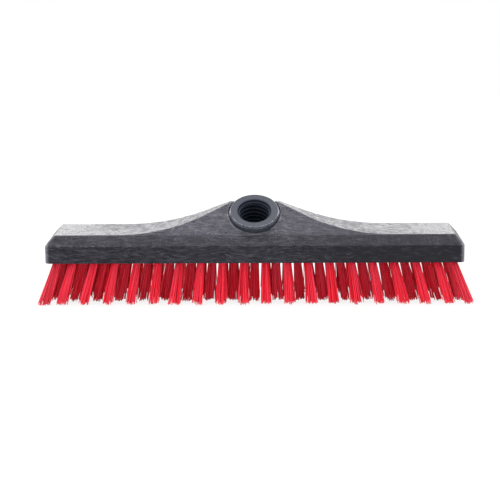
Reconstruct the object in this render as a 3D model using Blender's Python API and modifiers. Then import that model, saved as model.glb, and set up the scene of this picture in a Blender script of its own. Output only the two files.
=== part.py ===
"""Floor scrub brush: a moulded plastic block with a humped back, a threaded handle
socket that leans towards the front, and five rows of bristle tufts that fan out from
the sole. Metres, +Z up. X runs along the block, and the socket's mouth faces -Y and
up. The origin is under the middle of the block, at the level of the cut tips."""

import math

import bmesh
import bpy
from mathutils import Matrix, Vector

# Fits
CLEARANCE = 0.0003  # gap between two pieces that touch
OVERRUN = 0.004  # how far a cutter runs past the face that it opens

# Block
BLOCK_LENGTH = 0.300
BLOCK_WIDTH = 0.060
SIDE_HEIGHT = 0.0125  # upright side, from the sole to the crease
CHAMFER_RUN = 0.0065
CHAMFER_RISE = 0.0071
CORNER_RADIUS = 0.0035  # upright corners, seen from above
TOP_CORNER_RADIUS = 0.0015  # the same corners at the top of the chamfer
SOLE_EDGE_RADIUS = 0.0006
CREASE_RADIUS = 0.0012
TOP_EDGE_RADIUS = 0.0008

# Hump that carries the socket
HUMP_RISE = 0.0203  # above the flat ends of the block
HUMP_SLOPE = math.radians(23.5)
HUMP_FOOT_RADIUS = 0.155
HUMP_SHOULDER_RADIUS = 0.006
HUMP_LEDGE = 0.0003  # faint step where the hump's faces meet the flat ends' edge line
HUMP_EDGE_RADIUS = 0.0010
RIDGE_LENGTH = 0.033
RIDGE_WIDTH = 0.007
RIDGE_EDGE_RADIUS = 0.0015

# Socket axis
SOCKET_TILT = math.radians(33.0)  # from upright towards the front
MOUTH_FORWARD = 0.010  # of the block's centre plane
SEAT_FLOOR_WALL = 0.0026  # block left between the seat and the backing's pocket

# Threaded insert
BORE_RADIUS = 0.0108
BORE_DEPTH = 0.0215
MOUTH_CHAMFER_RUN = 0.0014
MOUTH_CHAMFER_DEPTH = 0.0016
RIM_WIDTH = 0.00445  # flat ring round the mouth
COLLAR_CHAMFER_RUN = 0.00115
COLLAR_CHAMFER_DEPTH = 0.0011
COLLAR_DEPTH = 0.008
INSERT_WALL = 0.00395
INSERT_FLOOR = 0.0025
INSERT_FOOT_CHAMFER = 0.0008

# Seat and boss of the block round the insert
SEAT_STRAIGHT = 0.0018  # of the collar's seat, below the part that widens
SEAT_FLARE = math.radians(11.8)
BOSS_WALL = 0.0022
BOSS_TOP_DEPTH = 0.0056
BOSS_EDGE_CHAMFER = 0.0009
BOSS_STRAIGHT = 0.0049
BOSS_FOOT_WALL = 0.0015
BOSS_FOOT_LENGTH = 0.0065

# Sole and bristles
BRISTLE_LENGTH = 0.031  # from the sole to the cut tips
SOLE_RIM = 0.0036  # block left round the backing
BACKING_THICKNESS = 0.003
ROW_EDGE_MARGIN = 0.010  # from the outer row to the block's side
TUFT_PITCH = 0.0154  # along a row
END_TUFT_GAP = 0.00095  # backing left beyond the last tuft
SHORT_ROW_SETBACK = 0.0038  # of a short row's last tuft from a long row's
TUFT_DIAMETER = 0.0055
TUFT_TIP_DIAMETER = 0.0080
STRAND_WIDTH_SHARE = 0.28  # of the tuft's diameter
END_LEAN = math.radians(17.5)  # outwards, of the last tufts of a row
SIDE_LEAN = math.radians(10.0)  # outwards, of the outer rows

# Counts
CORNER_STEPS = 4
EDGE_STEPS = 2
FOOT_STEPS = 10
SHOULDER_STEPS = 4
TURN_STEPS = 56
STRAND_SIDES = 4

# Shading
SMOOTH_ANGLE = math.radians(28.0)

# Levels and places that follow
SOLE_Z = BRISTLE_LENGTH
CREASE_Z = SOLE_Z + SIDE_HEIGHT
FLAT_Z = CREASE_Z + CHAMFER_RISE
RIDGE_Z = FLAT_Z + HUMP_RISE
CHAMFER_LEAN = math.atan2(CHAMFER_RUN, CHAMFER_RISE)
POCKET_HALF_LENGTH = BLOCK_LENGTH / 2 - SOLE_RIM
POCKET_HALF_WIDTH = BLOCK_WIDTH / 2 - SOLE_RIM
POCKET_Z = SOLE_Z + BACKING_THICKNESS + CLEARANCE
MOUTH_RADIUS = BORE_RADIUS + MOUTH_CHAMFER_RUN
RIM_RADIUS = MOUTH_RADIUS + RIM_WIDTH
COLLAR_RADIUS = RIM_RADIUS + COLLAR_CHAMFER_RUN
INSERT_RADIUS = BORE_RADIUS + INSERT_WALL
INSERT_DEPTH = BORE_DEPTH + INSERT_FLOOR
COLLAR_SEAT_RADIUS = COLLAR_RADIUS + CLEARANCE
INSERT_SEAT_RADIUS = INSERT_RADIUS + CLEARANCE
SEAT_DEPTH = INSERT_DEPTH + CLEARANCE
SEAT_REACH = SEAT_DEPTH * math.cos(SOCKET_TILT) + INSERT_SEAT_RADIUS * math.sin(SOCKET_TILT)
MOUTH_Z = POCKET_Z + SEAT_FLOOR_WALL + SEAT_REACH
MOUTH = Vector((0, -MOUTH_FORWARD, MOUTH_Z))
ROW_SPACING = (BLOCK_WIDTH / 2 - ROW_EDGE_MARGIN) / 2
LONG_ROW_END = POCKET_HALF_LENGTH - CLEARANCE - END_TUFT_GAP - TUFT_DIAMETER / 2
SHORT_ROW_END = LONG_ROW_END - SHORT_ROW_SETBACK
LAST_COLUMN = 2 * round(SHORT_ROW_END / TUFT_PITCH)
COLUMN_SPACING = SHORT_ROW_END / LAST_COLUMN


def clear_scene():
    for old in list(bpy.data.objects):
        bpy.data.objects.remove(old, do_unlink=True)


def new_collection(name):
    collection = bpy.data.collections.new(name)
    bpy.context.scene.collection.children.link(collection)
    return collection


def plastic(name, colour, roughness):
    """A plain plastic: its linear colour and how dull it is."""
    material = bpy.data.materials.new(name)
    material.use_nodes = True
    shader = material.node_tree.nodes["Principled BSDF"]
    shader.inputs["Base Color"].default_value = (*colour, 1)
    shader.inputs["Roughness"].default_value = roughness
    shader.inputs["Metallic"].default_value = 0
    material.diffuse_color = (*colour, 1)
    return material


def add_object(name, mesh, collection, materials=()):
    item = bpy.data.objects.new(name, mesh)
    collection.objects.link(item)
    for material in materials:
        mesh.materials.append(material)
    return item


def as_cutter(item):
    item.hide_render = True
    item.display_type = "WIRE"
    return item


def add_boolean(item, other, operation):
    modifier = item.modifiers.new(operation.lower() + "_" + other.name, "BOOLEAN")
    modifier.operation = operation
    modifier.solver = "EXACT"
    modifier.material_mode = "TRANSFER"
    modifier.object = other


def mesh_from(name, shape):
    """Puts a bmesh into a mesh whose faces point outwards."""
    bmesh.ops.recalc_face_normals(shape, faces=shape.faces)
    mesh = bpy.data.meshes.new(name)
    shape.to_mesh(mesh)
    shape.free()
    return mesh


def box(name, low, high):
    """A box between two corners."""
    low, high = Vector(low), Vector(high)
    size = high - low
    place = Matrix.Translation((low + high) / 2) @ Matrix.Diagonal((*size, 1))
    shape = bmesh.new()
    bmesh.ops.create_cube(shape, size=1, matrix=place)
    return mesh_from(name, shape)


def turned(name, profile, collection, materials=()):
    """A profile of (radius, height) points turned round the socket's axis. It runs up
    the inner side and down the outer side, and its heights count from the mouth."""
    line = bpy.data.meshes.new(name + "_profile")
    points = [(radius, 0, height) for radius, height in profile]
    line.from_pydata(points, [(i, i + 1) for i in range(len(points) - 1)], [])
    item = bpy.data.objects.new(name, line)
    collection.objects.link(item)
    screw = item.modifiers.new("turn", "SCREW")
    screw.steps = screw.render_steps = TURN_STEPS
    screw.use_merge_vertices = True
    screw.merge_threshold = 0.00001
    graph = bpy.context.evaluated_depsgraph_get()
    solid = bpy.data.meshes.new_from_object(item.evaluated_get(graph))
    solid.name = name
    item.modifiers.clear()
    item.data = solid
    bpy.data.meshes.remove(line)
    solid.shade_smooth()
    solid.set_sharp_from_angle(angle=SMOOTH_ANGLE)
    for material in materials:
        solid.materials.append(material)
    item.location = MOUTH
    item.rotation_euler.x = SOCKET_TILT
    return item


def ring(half_length, half_width, radius, z):
    """A rectangle with round corners, seen from above, as points anticlockwise."""
    points = []
    for turn, (side_x, side_y) in enumerate(((1, 1), (-1, 1), (-1, -1), (1, -1))):
        centre = Vector((side_x * (half_length - radius), side_y * (half_width - radius), z))
        for step in range(CORNER_STEPS + 1):
            angle = math.radians(90) * (turn + step / CORNER_STEPS)
            points.append(centre + radius * Vector((math.cos(angle), math.sin(angle), 0)))
    return points


def base_outline():
    """(inset, height) of the block's side: round sole edge, upright side, round crease,
    chamfer, round top edge."""
    outline = []
    for step in range(EDGE_STEPS + 1):
        angle = math.radians(90) * step / EDGE_STEPS
        inset = SOLE_EDGE_RADIUS * (1 - math.sin(angle))
        outline.append((inset, SOLE_Z + SOLE_EDGE_RADIUS * (1 - math.cos(angle))))
    crease_start = CREASE_Z - CREASE_RADIUS * math.tan(CHAMFER_LEAN / 2)
    for step in range(EDGE_STEPS + 1):
        angle = CHAMFER_LEAN * step / EDGE_STEPS
        inset = CREASE_RADIUS * (1 - math.cos(angle))
        outline.append((inset, crease_start + CREASE_RADIUS * math.sin(angle)))
    arc_start_rise = CHAMFER_RISE - TOP_EDGE_RADIUS * (1 - math.sin(CHAMFER_LEAN))
    centre_inset = arc_start_rise * math.tan(CHAMFER_LEAN) + TOP_EDGE_RADIUS * math.cos(CHAMFER_LEAN)
    for step in range(EDGE_STEPS + 1):
        angle = CHAMFER_LEAN + (math.radians(90) - CHAMFER_LEAN) * step / EDGE_STEPS
        inset = centre_inset - TOP_EDGE_RADIUS * math.cos(angle)
        outline.append((inset, FLAT_Z - TOP_EDGE_RADIUS * (1 - math.sin(angle))))
    return outline


def hump_profile():
    """(half length, height) of the hump seen from the front: a long hollow curve up
    from the flat end, a straight slope, and a short round shoulder to the ridge."""
    bend = 1 - math.cos(HUMP_SLOPE)
    straight_rise = HUMP_RISE - (HUMP_FOOT_RADIUS + HUMP_SHOULDER_RADIUS) * bend
    straight_run = straight_rise / math.tan(HUMP_SLOPE)
    shoulder_x = RIDGE_LENGTH / 2
    foot_x = shoulder_x + straight_run
    foot_x += (HUMP_FOOT_RADIUS + HUMP_SHOULDER_RADIUS) * math.sin(HUMP_SLOPE)
    profile = []
    for step in range(FOOT_STEPS + 1):
        angle = HUMP_SLOPE * step / FOOT_STEPS
        x = foot_x - HUMP_FOOT_RADIUS * math.sin(angle)
        profile.append((x, FLAT_Z + HUMP_FOOT_RADIUS * (1 - math.cos(angle))))
    for step in range(SHOULDER_STEPS + 1):
        angle = HUMP_SLOPE * (1 - step / SHOULDER_STEPS)
        x = shoulder_x + HUMP_SHOULDER_RADIUS * math.sin(angle)
        profile.append((x, RIDGE_Z - HUMP_SHOULDER_RADIUS * (1 - math.cos(angle))))
    return profile


def hump_half_width(z, foot_half_width):
    """Half the hump's width at a height: a straight face from the flat ends' edge up to
    the ridge, whose long edges are rounded."""
    run = foot_half_width - RIDGE_WIDTH / 2
    slope = math.atan2(run, HUMP_RISE)
    below = RIDGE_Z - z
    face = RIDGE_WIDTH / 2 + below * math.tan(slope)
    if below >= RIDGE_EDGE_RADIUS * (1 - math.sin(slope)):
        return face
    arc_start = RIDGE_EDGE_RADIUS * (1 - math.sin(slope)) * math.tan(slope)
    centre = RIDGE_WIDTH / 2 + arc_start - RIDGE_EDGE_RADIUS * math.cos(slope)
    return centre + math.sqrt(RIDGE_EDGE_RADIUS**2 - (RIDGE_EDGE_RADIUS - below) ** 2)


def block_rings():
    """The block as rings stacked from the sole to the ridge. The last ring of the base
    and the first of the hump lie at one height, and the flat ends lie between them."""
    rings = []
    for inset, z in base_outline():
        share = max(0, (z - CREASE_Z) / CHAMFER_RISE)
        radius = CORNER_RADIUS + (TOP_CORNER_RADIUS - CORNER_RADIUS) * share
        if z < CREASE_Z:
            radius -= inset
        rings.append(ring(BLOCK_LENGTH / 2 - inset, BLOCK_WIDTH / 2 - inset, radius, z))
    foot_half_width = BLOCK_WIDTH / 2 - inset - HUMP_LEDGE
    for half_length, z in hump_profile():
        half_width = hump_half_width(z, foot_half_width)
        radius = min(HUMP_EDGE_RADIUS, half_width / 2)
        rings.append(ring(half_length, half_width, radius, z))
    return rings


def loft(name, rings):
    """Joins rings of equal count by quads, with a flat cap at each end."""
    shape = bmesh.new()
    rows = [[shape.verts.new(point) for point in points] for points in rings]
    count = len(rows[0])
    for below, above in zip(rows, rows[1:]):
        for i in range(count):
            j = (i + 1) % count
            shape.faces.new((below[i], below[j], above[j], above[i]))
    shape.faces.new(rows[0][::-1])
    shape.faces.new(rows[-1])
    return mesh_from(name, shape)


def make_boss(cutters):
    """Round boss that closes the seat behind the ridge: a short collar wall and a
    tapered foot that sinks into the block's back."""
    radius = COLLAR_SEAT_RADIUS + BOSS_WALL
    foot_radius = INSERT_SEAT_RADIUS + BOSS_FOOT_WALL
    foot_top = -BOSS_TOP_DEPTH - BOSS_STRAIGHT
    foot_end = foot_top - BOSS_FOOT_LENGTH
    profile = [
        (0, -BOSS_TOP_DEPTH),
        (radius - BOSS_EDGE_CHAMFER, -BOSS_TOP_DEPTH),
        (radius, -BOSS_TOP_DEPTH - BOSS_EDGE_CHAMFER),
        (radius, foot_top),
        (foot_radius, foot_end),
        (0, foot_end),
    ]
    return as_cutter(turned("socket_boss", profile, cutters))


def make_seat_cutter(cutters):
    """Stepped hole for the insert, with a mouth that widens towards the hump's face."""
    top = max(0, RIDGE_Z - MOUTH_Z) / math.cos(SOCKET_TILT) + OVERRUN
    flare_start = SEAT_STRAIGHT - COLLAR_DEPTH
    flared_radius = COLLAR_SEAT_RADIUS + (top - flare_start) * math.tan(SEAT_FLARE)
    step = -COLLAR_DEPTH - CLEARANCE
    profile = [
        (0, top),
        (flared_radius, top),
        (COLLAR_SEAT_RADIUS, flare_start),
        (COLLAR_SEAT_RADIUS, step),
        (INSERT_SEAT_RADIUS, step),
        (INSERT_SEAT_RADIUS, -SEAT_DEPTH),
        (0, -SEAT_DEPTH),
    ]
    return as_cutter(turned("insert_seat", profile, cutters))


def make_pocket_cutter(cutters):
    """Shallow pocket in the sole for the slices of backing."""
    mesh = box(
        "backing_pocket",
        (-POCKET_HALF_LENGTH, -POCKET_HALF_WIDTH, SOLE_Z - OVERRUN),
        (POCKET_HALF_LENGTH, POCKET_HALF_WIDTH, POCKET_Z),
    )
    return as_cutter(add_object("backing_pocket", mesh, cutters))


def make_block(parts, cutters, material):
    mesh = loft("brush_block", block_rings())
    mesh.shade_smooth()
    mesh.set_sharp_from_angle(angle=SMOOTH_ANGLE)
    block = add_object("brush_block", mesh, parts, [material])
    add_boolean(block, make_boss(cutters), "UNION")
    add_boolean(block, make_seat_cutter(cutters), "DIFFERENCE")
    add_boolean(block, make_pocket_cutter(cutters), "DIFFERENCE")
    return block


def make_insert(parts, material):
    """Blind cup with a collar. Its bore is plain here, at the thread's crests."""
    profile = [
        (0, -BORE_DEPTH),
        (BORE_RADIUS, -BORE_DEPTH),
        (BORE_RADIUS, -MOUTH_CHAMFER_DEPTH),
        (MOUTH_RADIUS, 0),
        (RIM_RADIUS, 0),
        (COLLAR_RADIUS, -COLLAR_CHAMFER_DEPTH),
        (COLLAR_RADIUS, -COLLAR_DEPTH),
        (INSERT_RADIUS, -COLLAR_DEPTH),
        (INSERT_RADIUS, -INSERT_DEPTH + INSERT_FOOT_CHAMFER),
        (INSERT_RADIUS - INSERT_FOOT_CHAMFER, -INSERT_DEPTH),
        (0, -INSERT_DEPTH),
    ]
    return turned("threaded_insert", profile, parts, [material])


def tuft_rows(column):
    """(x, y) of the tufts over one slice of backing. Even columns meet the two short
    rows, odd columns the three long rows, and the last column both."""
    x = column * COLUMN_SPACING
    tufts = []
    if column % 2 == 0:
        tufts += [(x, row * ROW_SPACING) for row in (-1, 1)]
    if abs(column) == LAST_COLUMN:
        x = math.copysign(LONG_ROW_END, column)
    if column % 2 or abs(column) == LAST_COLUMN:
        tufts += [(x, row * ROW_SPACING) for row in (-2, 0, 2)]
    return tufts


def add_strand(shape, x, y, offset_x, offset_y):
    """One strand, from inside the backing down to the cut tips. It leans with its
    tuft's place and spreads from the tuft's middle, and its ends stay level."""
    root_z = SOLE_Z + BACKING_THICKNESS / 2
    outer_y = 2 * ROW_SPACING
    spread = (TUFT_TIP_DIAMETER / TUFT_DIAMETER - 1) / BRISTLE_LENGTH
    lean = Matrix.Identity(4)
    lean[0][2] = -math.tan(END_LEAN * x / LONG_ROW_END) - spread * offset_x
    lean[1][2] = -math.tan(SIDE_LEAN * y / outer_y) - spread * offset_y
    at_sole = Matrix.Translation((x + offset_x, y + offset_y, SOLE_Z))
    centred = Matrix.Translation((0, 0, root_z / 2 - SOLE_Z))
    radius = TUFT_DIAMETER * STRAND_WIDTH_SHARE / math.sqrt(2)
    bmesh.ops.create_cone(
        shape,
        cap_ends=True,
        segments=STRAND_SIDES,
        radius1=radius,
        radius2=radius,
        depth=root_z,
        matrix=at_sole @ lean @ centred,
    )


def make_strands(name, column, cutters, material):
    """The strands of one slice: a middle one and four round it in each tuft."""
    shape = bmesh.new()
    reach = TUFT_DIAMETER * (1 - STRAND_WIDTH_SHARE) / 2 / math.sqrt(2)
    for x, y in tuft_rows(column):
        add_strand(shape, x, y, 0, 0)
        for side_x in (-1, 1):
            for side_y in (-1, 1):
                add_strand(shape, x, y, side_x * reach, side_y * reach)
    return as_cutter(add_object(name, mesh_from(name, shape), cutters, [material]))


def make_tuft_strip(number, column, parts, cutters, backing_material, bristle_material):
    """A crosswise slice of backing in the sole's pocket, with its tufts."""
    half_gap = CLEARANCE / 2
    low = (column - 0.5) * COLUMN_SPACING + half_gap
    high = (column + 0.5) * COLUMN_SPACING - half_gap
    if column == -LAST_COLUMN:
        low = CLEARANCE - POCKET_HALF_LENGTH
    if column == LAST_COLUMN:
        high = POCKET_HALF_LENGTH - CLEARANCE
    half_width = POCKET_HALF_WIDTH - CLEARANCE
    name = f"tuft_strip_{number:02d}"
    mesh = box(name, (low, -half_width, SOLE_Z), (high, half_width, SOLE_Z + BACKING_THICKNESS))
    strip = add_object(name, mesh, parts, [backing_material, bristle_material])
    strands = make_strands(f"strands_{number:02d}", column, cutters, bristle_material)
    add_boolean(strip, strands, "UNION")
    return strip


def main():
    clear_scene()
    parts = new_collection("floor_scrub_brush")
    cutters = new_collection("cutters")
    block_plastic = plastic("black_polypropylene_foam", (0.045, 0.045, 0.055), 0.55)
    insert_plastic = plastic("slate_grey_nylon", (0.075, 0.09, 0.105), 0.45)
    bristle_plastic = plastic("red_bristle_polyester", (0.62, 0.012, 0.025), 0.4)
    make_block(parts, cutters, block_plastic)
    make_insert(parts, insert_plastic)
    for number, column in enumerate(range(-LAST_COLUMN, LAST_COLUMN + 1), start=1):
        make_tuft_strip(number, column, parts, cutters, block_plastic, bristle_plastic)


main()
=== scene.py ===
"""Floor scrub brush: a structural foam block with a humped back, a threaded handle
insert and five rows of bristle tufts, dressed on its fixed frame. Metres, +Z up."""

import math

import bpy
import numpy as np
from mathutils import Matrix, Vector


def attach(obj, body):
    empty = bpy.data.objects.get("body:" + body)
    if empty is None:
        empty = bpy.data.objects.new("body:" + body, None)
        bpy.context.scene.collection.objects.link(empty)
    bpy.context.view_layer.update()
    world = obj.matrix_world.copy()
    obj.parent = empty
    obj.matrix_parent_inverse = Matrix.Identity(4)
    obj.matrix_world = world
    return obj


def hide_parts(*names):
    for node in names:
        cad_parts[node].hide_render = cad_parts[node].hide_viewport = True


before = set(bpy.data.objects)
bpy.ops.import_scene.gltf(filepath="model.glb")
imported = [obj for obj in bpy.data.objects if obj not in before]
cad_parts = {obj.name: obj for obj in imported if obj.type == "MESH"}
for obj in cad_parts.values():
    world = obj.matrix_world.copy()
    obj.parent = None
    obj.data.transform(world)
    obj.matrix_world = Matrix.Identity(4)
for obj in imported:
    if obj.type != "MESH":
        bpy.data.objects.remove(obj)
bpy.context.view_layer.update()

# Fits
CLEARANCE = 0.0003
OVERRUN = 0.004

# Block, as in the solids
BLOCK_LENGTH = 0.300
BLOCK_WIDTH = 0.060
SOLE_Z = 0.031
CREASE_Z = 0.0435
FLAT_Z = 0.0506
RIDGE_Z = 0.0709
CHAMFER_RUN = 0.0065
CHAMFER_LEAN = math.atan2(CHAMFER_RUN, FLAT_Z - CREASE_Z)
CORNER_RADIUS = 0.0035
TOP_CORNER_RADIUS = 0.0015
SOLE_EDGE_RADIUS = 0.0006
CREASE_RADIUS = 0.0012
TOP_EDGE_RADIUS = 0.0008
HUMP_SLOPE = math.radians(23.5)
HUMP_FOOT_RADIUS = 0.155
HUMP_SHOULDER_RADIUS = 0.006
HUMP_LEDGE = 0.0003
HUMP_EDGE_RADIUS = 0.0010
RIDGE_LENGTH = 0.033
RIDGE_WIDTH = 0.007
RIDGE_EDGE_RADIUS = 0.0015

# Socket axis: MOUTH is the middle of the rim, and the axis leans towards the front
MOUTH = np.array((-0.0001, -0.010, 0.065777))
SOCKET_TILT = math.radians(33.0)
ACROSS = np.array((1, 0, 0))
UPHILL = np.array((0, math.cos(SOCKET_TILT), math.sin(SOCKET_TILT)))
AXIS = np.array((0, -math.sin(SOCKET_TILT), math.cos(SOCKET_TILT)))

# Threaded insert
CREST_RADIUS = 0.0108
THREAD_DEPTH = 0.00125
THREAD_PITCH = 0.0036
FIRST_CREST = 0.0006
THREAD_START = 0.0022
BORE_DEPTH = 0.0215
MOUTH_RADIUS = 0.0128
THROAT_RADIUS = 0.0122
MOUTH_CHAMFER_DEPTH = 0.0005
RIM_RADIUS = 0.0173
COLLAR_RADIUS = 0.0184
COLLAR_CHAMFER_DEPTH = 0.0010
RIM_ROUND_SHARE = 0.4
CREST_FLAT_SHARE = 0.05
THREAD_FLANK_SHARE = 0.24
THREAD_LEAD_SHARE = 0.25
BORE_START_SHARE = 1.02
COLLAR_DEPTH = 0.008
INSERT_RADIUS = 0.01475
INSERT_DEPTH = 0.024

# Seat and boss of the block round the insert
SEAT_GAP = 0.00006
SIDE_GAP = 0.0003
SIDE_GAP_MIDDLE = 0.05
SIDE_GAP_SPREAD = 0.3
LIP_TOP_DEPTH = 0.0006
LIP_ROUND = 0.0001
LIP_DROP_SHARE = 0.35
RIDGE_DISH = 0.0026
DISH_MIDDLE = 0.45
DISH_SPREAD = 0.35
BEAD_SINK = 0.00008
BEAD_ROUND = 0.0004
BEAD_SIDE_RISE = 0.0006
BEAD_FRONT_RISE = 0.0008
BEAD_SIDE_WIDTH = 0.0016
BEAD_FRONT_WIDTH = 0.0026
BEAD_START = 0.6
BEAD_SLOPE = 1.6
BEAD_MIDDLE = math.radians(260)
BEAD_SPREAD = math.radians(26)
BEAD_SHARES = np.concatenate((np.linspace(1, 0.25, 12), np.linspace(0.2, 0, 6)))
BEAD_RING_RADIUS = 0.0196
BOSS_WALL = 0.0018
BOSS_TOP_DEPTH = 0.0056
BOSS_EDGE_CHAMFER = 0.0009
BOSS_STRAIGHT = 0.0049
BOSS_FOOT_WALL = 0.0015
BOSS_FOOT_LENGTH = 0.0065

# Tufts
ROW_SPACING = 0.010
LONG_ROW_END = 0.1424
SHORT_ROW_END = 0.1386
LAST_COLUMN = 18
TUFT_RADIUS = 0.00275
TUFT_HOLE_RADIUS = 0.0031
TUFT_HOLE_DEPTH = 0.004
HOLE_SINK = TUFT_HOLE_RADIUS / 8
HOLE_CONE = np.array(((1.6, -0.6), (1, 0), (0, 1)))
TIP_SPREAD = 1.55
TIP_LIMIT = 0.0304
TIP_UNEVENNESS = 0.0008
TIP_RISE = 0.0038
CLUMPS = 7
CLUMP_LEAN = 0.016
CLUMP_UNEVENNESS = 0.0010
END_LEAN = math.radians(17.5)
SIDE_LEAN = math.radians(10.0)
TUFT_LEAN_JITTER = 0.014
TIP_SPREAD_JITTER = 0.08
SEED = 20
FILAMENTS = 56
FILAMENT_JITTER = 0.011
FILAMENT_BOW = 0.35
STRAY_SHARE = 0.06
STRAY_TIMES = 3.0
ROOT_RADIUS_SHARES = (0.93, 1.03)
FILAMENT_RADIUS = 0.00028
FILAMENT_SIDES = 5
FILAMENT_RINGS = 5

# Picture
IMAGE_PIXELS = 500
FOCAL_PIXELS = 1627.64
SENSOR = 0.036
CAMERA_DISTANCE = 1.19089
CAMERA_ELEVATION = math.radians(10.818)
CAMERA_AZIMUTH = math.radians(0.874)
CAMERA_ROLL = math.radians(-0.386)
CAMERA_TARGET = Vector((-0.003577, 0, 0.03492))

CLIP_END = 100
LAMP_TARGET = Vector((0, 0, 0.05))
FLOOR_REACH = 1.5
PAPER_GLOW_SHARE = 0.86
WORLD_LIGHT = 0.85
# each lamp's name, place, width, height and radiance
LAMPS = (
    ("overhead_softbox", (0, -0.03, 1.3), 1.4, 0.8, 1.46),
    ("back_softbox", (0, 1.7, 0.84), 2.0, 1.1, 2.7),
)
# the same for the lamps that stand in mirrored pairs, with the right one's place
PAIRED_LAMPS = (
    ("softbox", (0.88, 0.62, 0.95), 0.35, 1.1, 7.0),
    ("front_softbox", (0.73, -0.34, 1.20), 0.45, 0.45, 6.0),
    ("side_softbox", (1.0, -0.55, 0.80), 0.6, 0.6, 1.2),
)

# Steps of the surfaces
EDGE_STEPS = 6
CORNER_STEPS = 8
FOOT_STEPS = 36
SHOULDER_STEPS = 10
FACE_STEPS = 240
TURN_STEPS = 144
SEAT_STEPS = 288
LIP_STEPS = 10
RIM_ARC_STEPS = 6
BOSS_ARC_STEPS = 4
BORE_RINGS = 152
HOLE_SIDES = 24
HALVINGS = 40
SMOOTH_ANGLE = math.radians(30)
FILAMENT_SMOOTH_ANGLE = math.radians(75)
TURN = 2 * math.pi
QUARTER = math.radians(90)

# Sizes of the finishes' patterns, where three differ along the brush, across its top
# and up its sides, and heights of their relief
FLOW_LENGTH = 0.028
FLOW_SHIFT = 0.010
STREAK_SIZE = (0.007, 0.003, 0.0008)
MARK_SIZE = (0.012, 0.004, 0.0013)
PORE_SIZE = (0.0042, 0.003, 0.0015)
PEBBLE_SIZE = (0.004, 0.007, 0.02)
DASH_SIZE = (0.003, 0.003, 0.010)
WRINKLE_HEIGHT = 0.0003
PEBBLE_HEIGHT = 0.0013
PEEL_SIZE = 0.0014
PEEL_HEIGHT = 0.00003
CLOUD_SIZE = 0.003
RIM_DASH_SIZE = 0.002
SCUFF_SIZE = 0.0016

# Shares in the foam's finish: how much the painted reflection lifts its corners' streaks,
# how far that painted reflection covers, and how far the wandering flow clouds the gloss
PAINTED_CORNER_LIFT = 0.15
PAINTED_CORNER_SHEEN_SHARE = 0.75
WANDER_SHARE = 0.3

# Settings of the finishes' nodes
ABSOLUTE = {"operation": "ABSOLUTE"}
ADD = {"operation": "ADD"}
CROSS_PRODUCT = {"operation": "CROSS_PRODUCT"}
LENGTH = {"operation": "LENGTH"}
MAXIMUM = {"operation": "MAXIMUM"}
MULTIPLY = {"operation": "MULTIPLY"}
MULTIPLY_ADD = {"operation": "MULTIPLY_ADD"}
SCALE = {"operation": "SCALE"}
SUBTRACT = {"operation": "SUBTRACT"}
SMOOTH = {"interpolation_type": "SMOOTHSTEP"}
COLOURS = {"data_type": "RGBA"}

# Sockets of a Mix node of colours: the share, the two colours and the mixed one
SHARE, UNDER, OVER, MIXED = 0, 6, 7, 2


def linear(hex_colour):
    """An sRGB hex colour as linear red, green, blue and one for alpha."""
    parts = [int(hex_colour[i : i + 2], 16) / 255 for i in (1, 3, 5)]
    return (*[c / 12.92 if c <= 0.04045 else ((c + 0.055) / 1.055) ** 2.4 for c in parts], 1)


def add_node(tree, kind, settings, sockets):
    """Adds a node. settings are its own options. sockets are its inputs, in order or by
    name or number, each a plain value or the node or output that feeds it."""
    node = tree.nodes.new("ShaderNode" + kind)
    for name, value in settings.items():
        setattr(node, name, value)
    if not isinstance(sockets, dict):
        sockets = dict(enumerate(sockets))
    for key, value in sockets.items():
        if isinstance(value, bpy.types.Node):
            value = value.outputs[0]
        if isinstance(value, bpy.types.NodeSocket):
            tree.links.new(value, node.inputs[key])
        else:
            node.inputs[key].default_value = value
    return node


def new_tree(name):
    """A new material with an empty node tree, and that tree."""
    material = bpy.data.materials.new(name)
    material.use_nodes = True
    material.node_tree.nodes.clear()
    return material, material.node_tree


# Surfaces


def bell(value, middle, spread):
    """A bell curve: e to the minus square of the distance from its middle, in spreads."""
    return np.exp(-(((value - middle) / spread) ** 2))


def full_turn(steps):
    """Angles once round, without the last, which would meet the first."""
    return np.linspace(0, TURN, steps, endpoint=False)


def closed_quads(rows, columns):
    """Quads of a grid of rows whose columns close into a ring."""
    row, column = np.meshgrid(np.arange(rows - 1), np.arange(columns), indexing="ij")
    beside = (column + 1) % columns
    corners = (row * columns + column, row * columns + beside)
    corners += ((row + 1) * columns + beside, (row + 1) * columns + column)
    return np.stack(corners, -1).reshape(-1, 4)


def capped_faces(rows, columns):
    """Faces of such a grid as lists, with a flat cap over its first and last row."""
    caps = [list(range(columns))[::-1], list(range((rows - 1) * columns, rows * columns))]
    return closed_quads(rows, columns).tolist() + caps


def capped_tube(name, points):
    """A grid of closed rings, shape (rings, points, 3), each joined to the next by quads
    and the first and last closed by a flat cap. The rings turn left and run upwards."""
    mesh = bpy.data.meshes.new(name)
    mesh.from_pydata(points.reshape(-1, 3), [], capped_faces(*points.shape[:2]))
    mesh.validate()
    return mesh


def add_piece(name, data):
    """Adds an object at the origin, unturned and unscaled."""
    item = bpy.data.objects.new(name, data)
    bpy.context.scene.collection.objects.link(item)
    return item


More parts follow.
